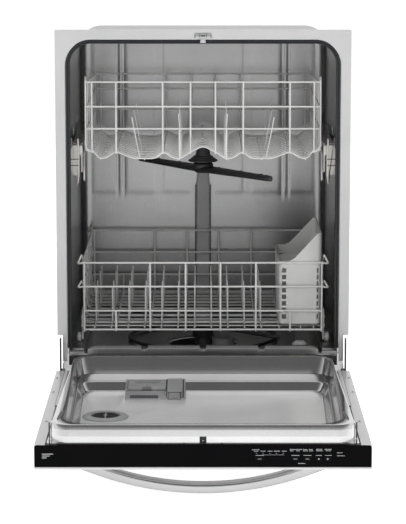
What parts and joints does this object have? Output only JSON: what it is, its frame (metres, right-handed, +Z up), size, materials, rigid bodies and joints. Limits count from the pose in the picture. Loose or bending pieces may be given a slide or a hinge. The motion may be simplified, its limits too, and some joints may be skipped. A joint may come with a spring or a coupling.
{
  "type": "built-in dishwasher",
  "caption": "Under-counter dishwasher with a drop-down door, two sliding wire racks, spray arms and a stainless tub.",
  "frame": {"origin": "centre of the footprint at floor level, with the door open", "axes": "+Z up, -Y towards the user, X across the width"},
  "size_m": [0.606, 1.257, 0.865],
  "materials": {
    "flange": "satin",
    "steel": "bright drawn stainless",
    "skin": "brushed",
    "zinc": "galvanised",
    "black_steel": "satin black",
    "rubber": "matte",
    "gloss": "high gloss black",
    "button": "gloss",
    "grey": "moulded",
    "dark": "moulded",
    "beige": "moulded",
    "coat": "nylon coated wire",
    "basket": "moulded",
    "clear": "translucent",
    "chrome": "polished",
    "element": "dark sheath"
  },
  "bodies": {
    "cabinet": {"tub_shell": "steel", "tub_bottom": "steel", "front_flange": "flange", "door_gasket": "rubber", "strike_plate": "chrome", "base_frame": "zinc", "toe_kick": "black_steel", "leveling_foot_front_left": "dark", "leveling_foot_front_right": "dark", "leveling_foot_rear_left": "dark", "leveling_foot_rear_right": "dark", "sump": "dark", "filter": "grey", "circulation_pump": "dark", "drain_pump": "grey", "inlet_valve": "basket", "heating_element": "element", "feed_tube": "grey", "junction_box": "zinc", "door_spring_left": "zinc", "door_spring_right": "zinc"},
    "door": {"door_outer_panel": "skin", "door_liner": "steel", "console": "gloss", "door_handle": "skin", "dispenser_body": "grey", "vent_cap": "dark", "door_latch": "dark", "hinge_arm_left": "black_steel", "hinge_arm_right": "black_steel"},
    "detergent_cover": {"detergent_cover": "grey"},
    "rinse_aid_flap": {"rinse_aid_flap": "grey"},
    "float": {"float": "clear"},
    "lower_rack": {"lower_rack": "coat"},
    "silverware_basket": {"silverware_basket": "basket"},
    "upper_rack": {"upper_rack": "coat", "rack_hanger_left": "beige", "rack_hanger_right": "beige", "upper_feed_manifold": "dark"},
    "upper_rails": {"upper_rail_left": "beige", "upper_rail_right": "beige"},
    "upper_spray_arm": {"upper_spray_arm": "dark"},
    "lower_spray_arm": {"lower_spray_arm": "dark"},
    "button_start": {"button_start": "button"},
    "button_cancel": {"button_cancel": "button"},
    "button_heat": {"button_heat": "button"},
    "button_dry": {"button_dry": "button"},
    "button_cycle": {"button_cycle": "button"},
    "rail_wheel_front_left": {"rail_wheel_front_left": "beige"},
    "rail_wheel_front_right": {"rail_wheel_front_right": "beige"},
    "rail_wheel_rear_left": {"rail_wheel_rear_left": "beige"},
    "rail_wheel_rear_right": {"rail_wheel_rear_right": "beige"},
    "rack_roller_front_left": {"rack_roller_front_left": "beige"},
    "rack_roller_front_right": {"rack_roller_front_right": "beige"},
    "rack_roller_rear_left": {"rack_roller_rear_left": "beige"},
    "rack_roller_rear_right": {"rack_roller_rear_right": "beige"},
    "lower_wheel_front_left": {"lower_wheel_front_left": "basket"},
    "lower_wheel_front_right": {"lower_wheel_front_right": "basket"},
    "lower_wheel_rear_left": {"lower_wheel_rear_left": "basket"},
    "lower_wheel_rear_right": {"lower_wheel_rear_right": "basket"}
  },
  "joints": [
    {"name": "door_hinge", "type": "hinge", "parent": "cabinet", "child": "door", "pos_m": [0, 0.063, 0.1605], "axis": [1, 0, 0], "range_deg": [-90, 0]},
    {"name": "lower_rack_slide", "type": "slide", "parent": "cabinet", "child": "lower_rack", "axis": [0, -1, 0], "range_m": [0, 0.46]},
    {"name": "upper_rack_slide", "type": "slide", "parent": "cabinet", "child": "upper_rack", "axis": [0, -1, 0], "range_m": [0, 0.42]},
    {"name": "upper_rails_slide", "type": "slide", "parent": "cabinet", "child": "upper_rails", "axis": [0, -1, 0], "range_m": [0, 0.21]},
    {"name": "basket_lift", "type": "slide", "parent": "lower_rack", "child": "silverware_basket", "axis": [0, 0, 1], "range_m": [0, 0.09]},
    {"name": "detergent_cover_slide", "type": "slide", "parent": "door", "child": "detergent_cover", "axis": [0, -1, 0], "range_m": [0, 0.05]},
    {"name": "rinse_aid_flap_hinge", "type": "hinge", "parent": "door", "child": "rinse_aid_flap", "pos_m": [-0.057, -0.1495, 0.1594], "axis": [1, 0, 0], "range_deg": [-90, 0]},
    {"name": "float_rise", "type": "slide", "parent": "cabinet", "child": "float", "axis": [0, 0, 1], "range_m": [0, 0.01]},
    {"name": "upper_arm_spin", "type": "hinge", "parent": "upper_rack", "child": "upper_spray_arm", "pos_m": [0, 0.3415, 0.5512], "axis": [0, 0, 1], "continuous": true},
    {"name": "lower_arm_spin", "type": "hinge", "parent": "cabinet", "child": "lower_spray_arm", "pos_m": [0, 0.3415, 0.208], "axis": [0, 0, 1], "continuous": true},
    {"name": "button_start_press", "type": "slide", "parent": "door", "child": "button_start", "axis": [0, 1, 0], "range_m": [0, 0.0008], "stiffness_N_per_m": 600},
    {"name": "button_cancel_press", "type": "slide", "parent": "door", "child": "button_cancel", "axis": [0, 1, 0], "range_m": [0, 0.0008], "stiffness_N_per_m": 600},
    {"name": "button_heat_press", "type": "slide", "parent": "door", "child": "button_heat", "axis": [0, 1, 0], "range_m": [0, 0.0008], "stiffness_N_per_m": 600},
    {"name": "button_dry_press", "type": "slide", "parent": "door", "child": "button_dry", "axis": [0, 1, 0], "range_m": [0, 0.0008], "stiffness_N_per_m": 600},
    {"name": "button_cycle_press", "type": "slide", "parent": "door", "child": "button_cycle", "axis": [0, 1, 0], "range_m": [0, 0.0008], "stiffness_N_per_m": 600},
    {"name": "lower_wheel_front_left_roll", "type": "hinge", "parent": "lower_rack", "child": "lower_wheel_front_left", "pos_m": [0, 0.1515, 0.2157], "axis": [1, 0, 0], "continuous": true},
    {"name": "rack_roller_front_left_roll", "type": "hinge", "parent": "upper_rack", "child": "rack_roller_front_left", "pos_m": [0, 0.3615, 0.6147], "axis": [1, 0, 0], "continuous": true},
    {"name": "rail_wheel_front_left_roll", "type": "hinge", "parent": "cabinet", "child": "rail_wheel_front_left", "pos_m": [0, 0.1315, 0.6147], "axis": [1, 0, 0], "continuous": true},
    {"name": "lower_wheel_front_right_roll", "type": "hinge", "parent": "lower_rack", "child": "lower_wheel_front_right", "pos_m": [0, 0.1515, 0.2157], "axis": [1, 0, 0], "continuous": true},
    {"name": "rack_roller_front_right_roll", "type": "hinge", "parent": "upper_rack", "child": "rack_roller_front_right", "pos_m": [0, 0.3615, 0.6147], "axis": [1, 0, 0], "continuous": true},
    {"name": "rail_wheel_front_right_roll", "type": "hinge", "parent": "cabinet", "child": "rail_wheel_front_right", "pos_m": [0, 0.1315, 0.6147], "axis": [1, 0, 0], "continuous": true},
    {"name": "lower_wheel_rear_left_roll", "type": "hinge", "parent": "lower_rack", "child": "lower_wheel_rear_left", "pos_m": [0, 0.5665, 0.2157], "axis": [1, 0, 0], "continuous": true},
    {"name": "rack_roller_rear_left_roll", "type": "hinge", "parent": "upper_rack", "child": "rack_roller_rear_left", "pos_m": [0, 0.5465, 0.6147], "axis": [1, 0, 0], "continuous": true},
    {"name": "rail_wheel_rear_left_roll", "type": "hinge", "parent": "cabinet", "child": "rail_wheel_rear_left", "pos_m": [0, 0.3115, 0.6147], "axis": [1, 0, 0], "continuous": true},
    {"name": "lower_wheel_rear_right_roll", "type": "hinge", "parent": "lower_rack", "child": "lower_wheel_rear_right", "pos_m": [0, 0.5665, 0.2157], "axis": [1, 0, 0], "continuous": true},
    {"name": "rack_roller_rear_right_roll", "type": "hinge", "parent": "upper_rack", "child": "rack_roller_rear_right", "pos_m": [0, 0.5465, 0.6147], "axis": [1, 0, 0], "continuous": true},
    {"name": "rail_wheel_rear_right_roll", "type": "hinge", "parent": "cabinet", "child": "rail_wheel_rear_right", "pos_m": [0, 0.3115, 0.6147], "axis": [1, 0, 0], "continuous": true}
  ],
  "couplings": [
    {"joint": "upper_rails_slide", "follows": "upper_rack_slide", "ratio": 0.5},
    {"joint": "lower_wheel_front_left_roll", "follows": "lower_rack_slide", "rad_per_m": 90.909},
    {"joint": "rack_roller_front_left_roll", "follows": "upper_rack_slide", "rad_per_m": 40.984},
    {"joint": "rail_wheel_front_left_roll", "follows": "upper_rack_slide", "rad_per_m": 40.984},
    {"joint": "lower_wheel_front_right_roll", "follows": "lower_rack_slide", "rad_per_m": 90.909},
    {"joint": "rack_roller_front_right_roll", "follows": "upper_rack_slide", "rad_per_m": 40.984},
    {"joint": "rail_wheel_front_right_roll", "follows": "upper_rack_slide", "rad_per_m": 40.984},
    {"joint": "lower_wheel_rear_left_roll", "follows": "lower_rack_slide", "rad_per_m": 90.909},
    {"joint": "rack_roller_rear_left_roll", "follows": "upper_rack_slide", "rad_per_m": 40.984},
    {"joint": "rail_wheel_rear_left_roll", "follows": "upper_rack_slide", "rad_per_m": 40.984},
    {"joint": "lower_wheel_rear_right_roll", "follows": "lower_rack_slide", "rad_per_m": 90.909},
    {"joint": "rack_roller_rear_right_roll", "follows": "upper_rack_slide", "rad_per_m": 40.984},
    {"joint": "rail_wheel_rear_right_roll", "follows": "upper_rack_slide", "rad_per_m": 40.984}
  ]
}
